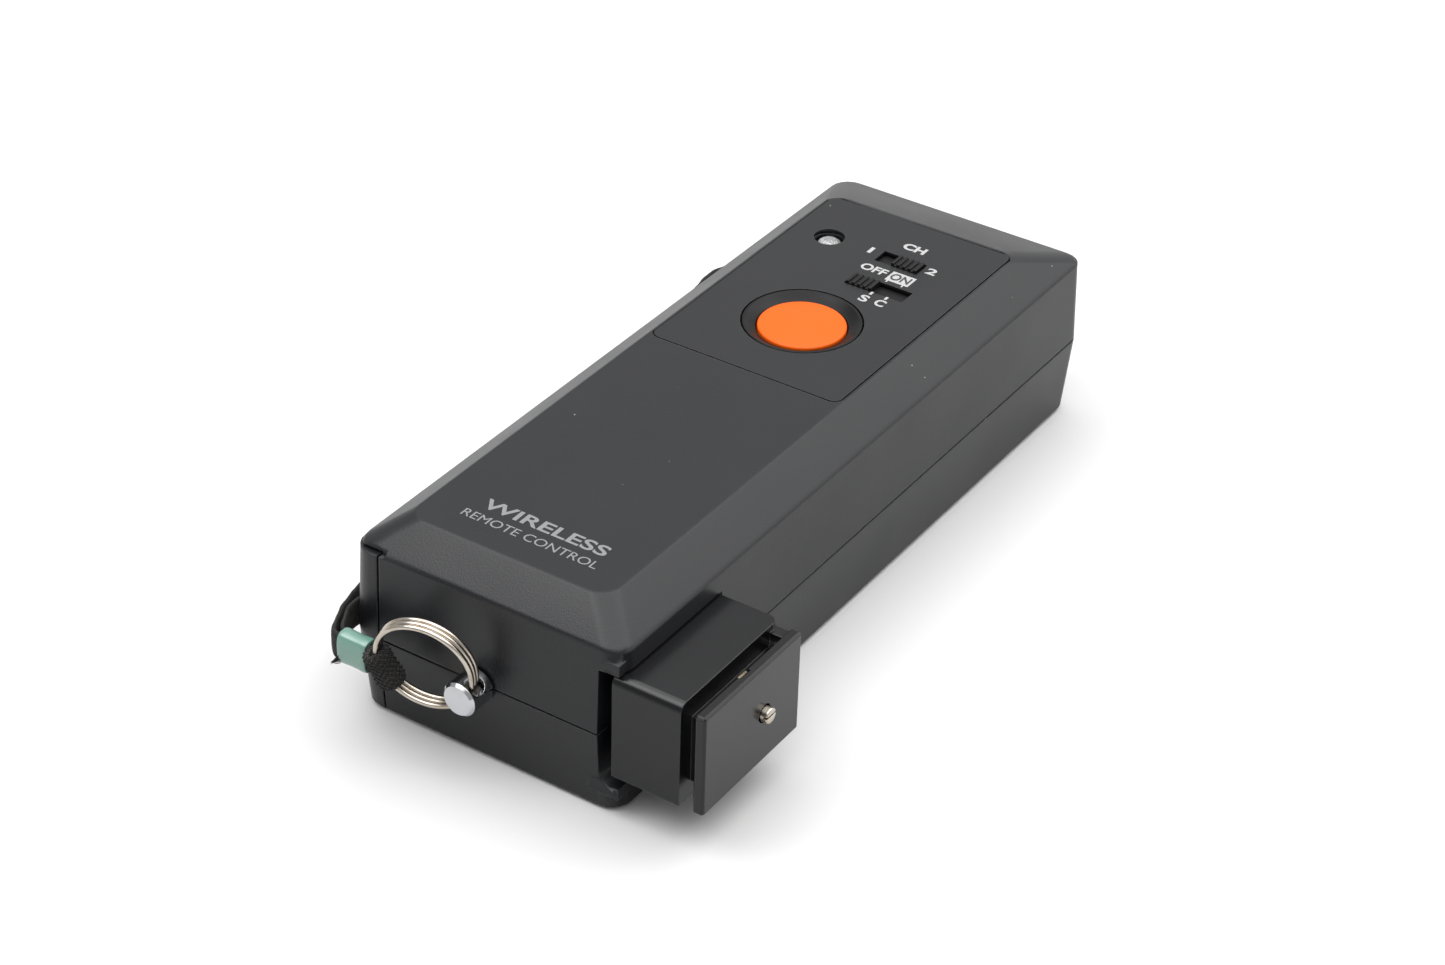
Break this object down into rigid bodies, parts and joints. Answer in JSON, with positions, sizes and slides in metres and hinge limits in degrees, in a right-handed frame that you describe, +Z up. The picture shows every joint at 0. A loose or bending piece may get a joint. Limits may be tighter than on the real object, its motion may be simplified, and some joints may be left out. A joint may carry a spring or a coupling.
{
  "type": "wireless flash trigger",
  "caption": "Slim black infrared transmitter with an orange release button, slide switches, a slide-on shoe foot at its side, a battery door and a wrist strap on a split ring.",
  "frame": {"origin": "centre of the case's flat underside, where it rests on a table", "axes": "+Z up through the controls, +Y along the case towards the emitting end, +X towards the side with the shoe foot"},
  "size_m": [0.0925, 0.1561, 0.0363],
  "materials": {
    "case_plastic": "satin black, finely textured",
    "panel_sheet": "smooth satin black",
    "button_orange": "satin orange",
    "knob_plastic": "satin black",
    "clear_lens": "clear, glossy",
    "infrared_window": "dark red, glossy",
    "chrome": "polished",
    "nickel_wire": "bright nickel",
    "steel": "plain",
    "board_green": "solder mask",
    "battery_jacket": "printed sleeve, satin",
    "black_cord": "knitted",
    "green_vinyl": "translucent, aged"
  },
  "bodies": {
    "case": {"upper_shell": "case_plastic", "lower_shell": "case_plastic", "control_panel": "panel_sheet", "button_bezel": "knob_plastic", "release_switch": "knob_plastic", "battery_cradle": "knob_plastic", "shoe_rail": "knob_plastic", "driver_chip": "knob_plastic", "lamp_lens": "clear_lens", "emitter_window": "infrared_window", "infrared_emitter_left": "infrared_window", "infrared_emitter_right": "infrared_window", "strap_post": "chrome", "near_contact_left": "nickel_wire", "near_contact_right": "nickel_wire", "far_contact_left": "nickel_wire", "far_contact_right": "nickel_wire", "case_screw_1": "steel", "case_screw_2": "steel", "case_screw_3": "steel", "case_screw_4": "steel", "rail_screw_1": "steel", "rail_screw_2": "steel", "post_nut": "steel", "button_spring": "steel", "battery_spring_1": "steel", "battery_spring_2": "steel", "battery_spring_3": "steel", "battery_spring_4": "steel", "mode_switch": "steel", "channel_switch": "steel", "crystal": "steel", "circuit_board": "board_green", "battery_1": "battery_jacket", "battery_2": "battery_jacket", "battery_3": "battery_jacket", "battery_4": "battery_jacket", "capacitor": "battery_jacket"},
    "button": {"release_button": "button_orange"},
    "mode_knob": {"mode_slider": "knob_plastic"},
    "channel_knob": {"channel_slider": "knob_plastic"},
    "door": {"battery_door": "case_plastic"},
    "adapter": {"shoe_block": "case_plastic", "earth_contact": "nickel_wire", "contact_spring": "steel"},
    "pin": {"sync_contact_pin": "nickel_wire"},
    "ring_and_strap": {"split_ring": "nickel_wire", "strap_eye": "black_cord", "strap_sleeve": "green_vinyl", "strap_loop": "black_cord"}
  },
  "joints": [
    {"name": "release_button_press", "type": "slide", "parent": "case", "child": "button", "axis": [0, 0, -1], "range_m": [0, 0.0012], "stiffness_N_per_m": 600, "springref_m": -0.002, "deforming": ["button_spring"]},
    {"name": "mode_slide", "type": "slide", "parent": "case", "child": "mode_knob", "axis": [1, 0, 0], "range_m": [0, 0.0061]},
    {"name": "channel_slide", "type": "slide", "parent": "case", "child": "channel_knob", "axis": [-1, 0, 0], "range_m": [0, 0.00305]},
    {"name": "battery_door_slide", "type": "slide", "parent": "case", "child": "door", "axis": [0, -1, 0], "range_m": [0, 0.0015]},
    {"name": "shoe_adapter_slide", "type": "slide", "parent": "case", "child": "adapter", "axis": [0, -1, 0], "range_m": [0, 0.028]},
    {"name": "contact_pin_press", "type": "slide", "parent": "adapter", "child": "pin", "axis": [-1, 0, 0], "range_m": [0, 0.0008], "stiffness_N_per_m": 400, "springref_m": -0.0015},
    {"name": "split_ring_swing", "type": "hinge", "parent": "case", "child": "ring_and_strap", "pos_m": [-0.0006, -0.0765, 0.01505], "axis": [0.5736, 0, 0.8192], "range_deg": [0, 50]}
  ]
}
